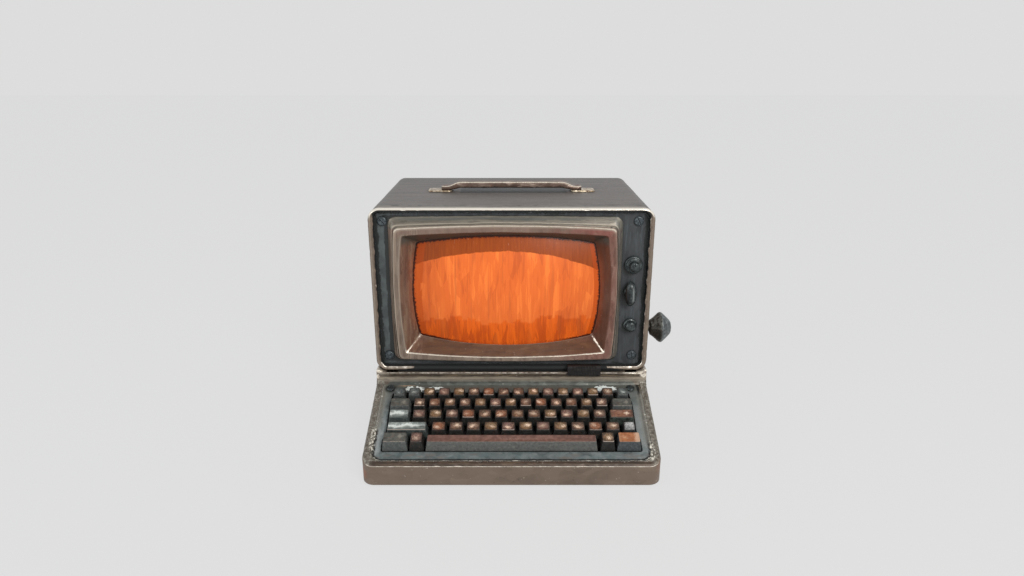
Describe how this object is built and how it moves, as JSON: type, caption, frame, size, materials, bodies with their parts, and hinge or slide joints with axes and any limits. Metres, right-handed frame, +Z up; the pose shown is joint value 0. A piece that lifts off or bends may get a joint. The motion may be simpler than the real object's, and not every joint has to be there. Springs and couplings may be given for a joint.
{
  "type": "portable computer terminal",
  "caption": "Portable computer terminal: rounded metal display case with a framed orange tube screen and knobs, on a wedge-fronted base with a built-in keyboard and a carrying handle.",
  "frame": {"origin": "centre of the bounding box in plan, on the plane that the feet stand on", "axes": "+X to the right seen from the keyboard side, +Y to the back of the case, +Z up"},
  "size_m": [0.3634, 0.338, 0.3],
  "materials": {
    "case_metal": "worn brown-grey metallic finish, bare metal showing along the edges",
    "bezel_metal": "satin brown metal, bright along its edges",
    "panel_paint": "worn dark blue-grey paint",
    "deck_paint": "worn blue-grey paint",
    "bright_metal": "bare worn metal",
    "knob_metal": "dark gunmetal, worn on the edges",
    "key_brown": "red-brown plastic, tops rubbed pale",
    "key_grey": "blue-grey plastic",
    "key_orange": "orange-brown plastic, rubbed pale",
    "screen_glass": "orange phosphor screen behind glass",
    "plated_steel": "plated sheet steel",
    "copper": "enamelled copper winding",
    "circuit_board": "glass-fibre circuit board",
    "dark_plastic": "moulded dark plastic",
    "rubber": "matt black rubber"
  },
  "bodies": {
    "terminal": {"case_shell": "case_metal", "base_tub": "case_metal", "rear_cover": "case_metal", "screen_bezel": "bezel_metal", "front_panel": "panel_paint", "keyboard_deck": "deck_paint", "handle_plate_left": "bright_metal", "handle_plate_right": "bright_metal", "panel_screw_1": "knob_metal", "panel_screw_2": "knob_metal", "panel_screw_3": "knob_metal", "panel_screw_4": "knob_metal", "deck_screw_1": "knob_metal", "deck_screw_2": "knob_metal", "rear_screw_1": "knob_metal", "rear_screw_2": "knob_metal", "picture_tube": "screen_glass", "base_plate": "plated_steel", "tube_band": "plated_steel", "switch_plate": "plated_steel", "power_transformer": "plated_steel", "data_socket": "plated_steel", "brightness_control": "plated_steel", "selector_switch": "plated_steel", "contrast_control": "plated_steel", "side_control": "plated_steel", "deflection_yoke": "copper", "main_board": "circuit_board", "keyboard_board": "circuit_board", "neck_board": "circuit_board", "line_transformer": "dark_plastic", "power_inlet": "dark_plastic", "foot_1": "rubber", "foot_2": "rubber", "foot_3": "rubber", "foot_4": "rubber"},
    "keys_row_1": {"keys_row_1": "key_brown"},
    "keys_row_2": {"keys_row_2": "key_brown"},
    "keys_row_3": {"keys_row_3": "key_brown"},
    "keys_row_4": {"keys_row_4": "key_brown"},
    "key_escape": {"key_escape": "key_grey"},
    "key_local": {"key_local": "key_grey"},
    "key_delete": {"key_delete": "key_grey"},
    "key_tab": {"key_tab": "key_grey"},
    "key_backspace": {"key_backspace": "key_grey"},
    "key_lock": {"key_lock": "key_grey"},
    "key_enter": {"key_enter": "key_brown"},
    "key_shift": {"key_shift": "key_grey"},
    "key_repeat": {"key_repeat": "key_grey"},
    "key_control": {"key_control": "key_grey"},
    "key_left_function": {"key_left_function": "key_brown"},
    "space_bar": {"space_bar": "key_brown"},
    "key_right_function": {"key_right_function": "key_brown"},
    "key_break": {"key_break": "key_orange"},
    "carrying_handle": {"carrying_handle": "bright_metal"},
    "brightness_knob": {"brightness_knob": "knob_metal"},
    "selector_knob": {"selector_knob": "knob_metal"},
    "contrast_knob": {"contrast_knob": "knob_metal"},
    "side_knob": {"side_knob": "knob_metal"},
    "case_latch": {"case_latch": "knob_metal"}
  },
  "joints": [
    {"name": "keys_row_1_press", "type": "slide", "parent": "terminal", "child": "keys_row_1", "axis": [0, 0.3601, -0.9329], "range_m": [0, 0.0035], "stiffness_N_per_m": 300, "springref_m": -0.003},
    {"name": "keys_row_2_press", "type": "slide", "parent": "terminal", "child": "keys_row_2", "axis": [0, 0.3601, -0.9329], "range_m": [0, 0.0035], "stiffness_N_per_m": 300, "springref_m": -0.003},
    {"name": "keys_row_3_press", "type": "slide", "parent": "terminal", "child": "keys_row_3", "axis": [0, 0.3601, -0.9329], "range_m": [0, 0.0035], "stiffness_N_per_m": 300, "springref_m": -0.003},
    {"name": "keys_row_4_press", "type": "slide", "parent": "terminal", "child": "keys_row_4", "axis": [0, 0.3601, -0.9329], "range_m": [0, 0.0035], "stiffness_N_per_m": 300, "springref_m": -0.003},
    {"name": "key_escape_press", "type": "slide", "parent": "terminal", "child": "key_escape", "axis": [0, 0.3601, -0.9329], "range_m": [0, 0.0035], "stiffness_N_per_m": 120, "springref_m": -0.003},
    {"name": "key_local_press", "type": "slide", "parent": "terminal", "child": "key_local", "axis": [0, 0.3601, -0.9329], "range_m": [0, 0.0035], "stiffness_N_per_m": 120, "springref_m": -0.003},
    {"name": "key_delete_press", "type": "slide", "parent": "terminal", "child": "key_delete", "axis": [0, 0.3601, -0.9329], "range_m": [0, 0.0035], "stiffness_N_per_m": 120, "springref_m": -0.003},
    {"name": "key_tab_press", "type": "slide", "parent": "terminal", "child": "key_tab", "axis": [0, 0.3601, -0.9329], "range_m": [0, 0.0035], "stiffness_N_per_m": 120, "springref_m": -0.003},
    {"name": "key_backspace_press", "type": "slide", "parent": "terminal", "child": "key_backspace", "axis": [0, 0.3601, -0.9329], "range_m": [0, 0.0035], "stiffness_N_per_m": 120, "springref_m": -0.003},
    {"name": "key_lock_press", "type": "slide", "parent": "terminal", "child": "key_lock", "axis": [0, 0.3601, -0.9329], "range_m": [0, 0.0035], "stiffness_N_per_m": 120, "springref_m": -0.003},
    {"name": "key_enter_press", "type": "slide", "parent": "terminal", "child": "key_enter", "axis": [0, 0.3601, -0.9329], "range_m": [0, 0.0035], "stiffness_N_per_m": 120, "springref_m": -0.003},
    {"name": "key_shift_press", "type": "slide", "parent": "terminal", "child": "key_shift", "axis": [0, 0.3601, -0.9329], "range_m": [0, 0.0035], "stiffness_N_per_m": 120, "springref_m": -0.003},
    {"name": "key_repeat_press", "type": "slide", "parent": "terminal", "child": "key_repeat", "axis": [0, 0.3601, -0.9329], "range_m": [0, 0.0035], "stiffness_N_per_m": 120, "springref_m": -0.003},
    {"name": "key_control_press", "type": "slide", "parent": "terminal", "child": "key_control", "axis": [0, 0.3601, -0.9329], "range_m": [0, 0.0035], "stiffness_N_per_m": 120, "springref_m": -0.003},
    {"name": "key_left_function_press", "type": "slide", "parent": "terminal", "child": "key_left_function", "axis": [0, 0.3601, -0.9329], "range_m": [0, 0.0035], "stiffness_N_per_m": 120, "springref_m": -0.003},
    {"name": "space_bar_press", "type": "slide", "parent": "terminal", "child": "space_bar", "axis": [0, 0.3601, -0.9329], "range_m": [0, 0.0035], "stiffness_N_per_m": 300, "springref_m": -0.003},
    {"name": "key_right_function_press", "type": "slide", "parent": "terminal", "child": "key_right_function", "axis": [0, 0.3601, -0.9329], "range_m": [0, 0.0035], "stiffness_N_per_m": 120, "springref_m": -0.003},
    {"name": "key_break_press", "type": "slide", "parent": "terminal", "child": "key_break", "axis": [0, 0.3601, -0.9329], "range_m": [0, 0.0035], "stiffness_N_per_m": 120, "springref_m": -0.003},
    {"name": "brightness_turn", "type": "hinge", "parent": "terminal", "child": "brightness_knob", "pos_m": [0.12645, -0.042, 0.2192], "axis": [0, -1, 0], "range_deg": [-145, 145]},
    {"name": "selector_turn", "type": "hinge", "parent": "terminal", "child": "selector_knob", "pos_m": [0.12375, -0.042, 0.1854], "axis": [0, -1, 0], "range_deg": [-60, 60]},
    {"name": "contrast_turn", "type": "hinge", "parent": "terminal", "child": "contrast_knob", "pos_m": [0.12625, -0.042, 0.1435], "axis": [0, -1, 0], "range_deg": [-145, 145]},
    {"name": "side_knob_turn", "type": "hinge", "parent": "terminal", "child": "side_knob", "pos_m": [0.14825, -0.017, 0.1305], "axis": [1, 0, 0], "range_deg": [-150, 150]},
    {"name": "handle_lift", "type": "slide", "parent": "terminal", "child": "carrying_handle", "axis": [0, 0, 1], "range_m": [0, 0.023]},
    {"name": "latch_slide", "type": "slide", "parent": "terminal", "child": "case_latch", "axis": [1, 0, 0], "range_m": [0, 0.008]}
  ]
}
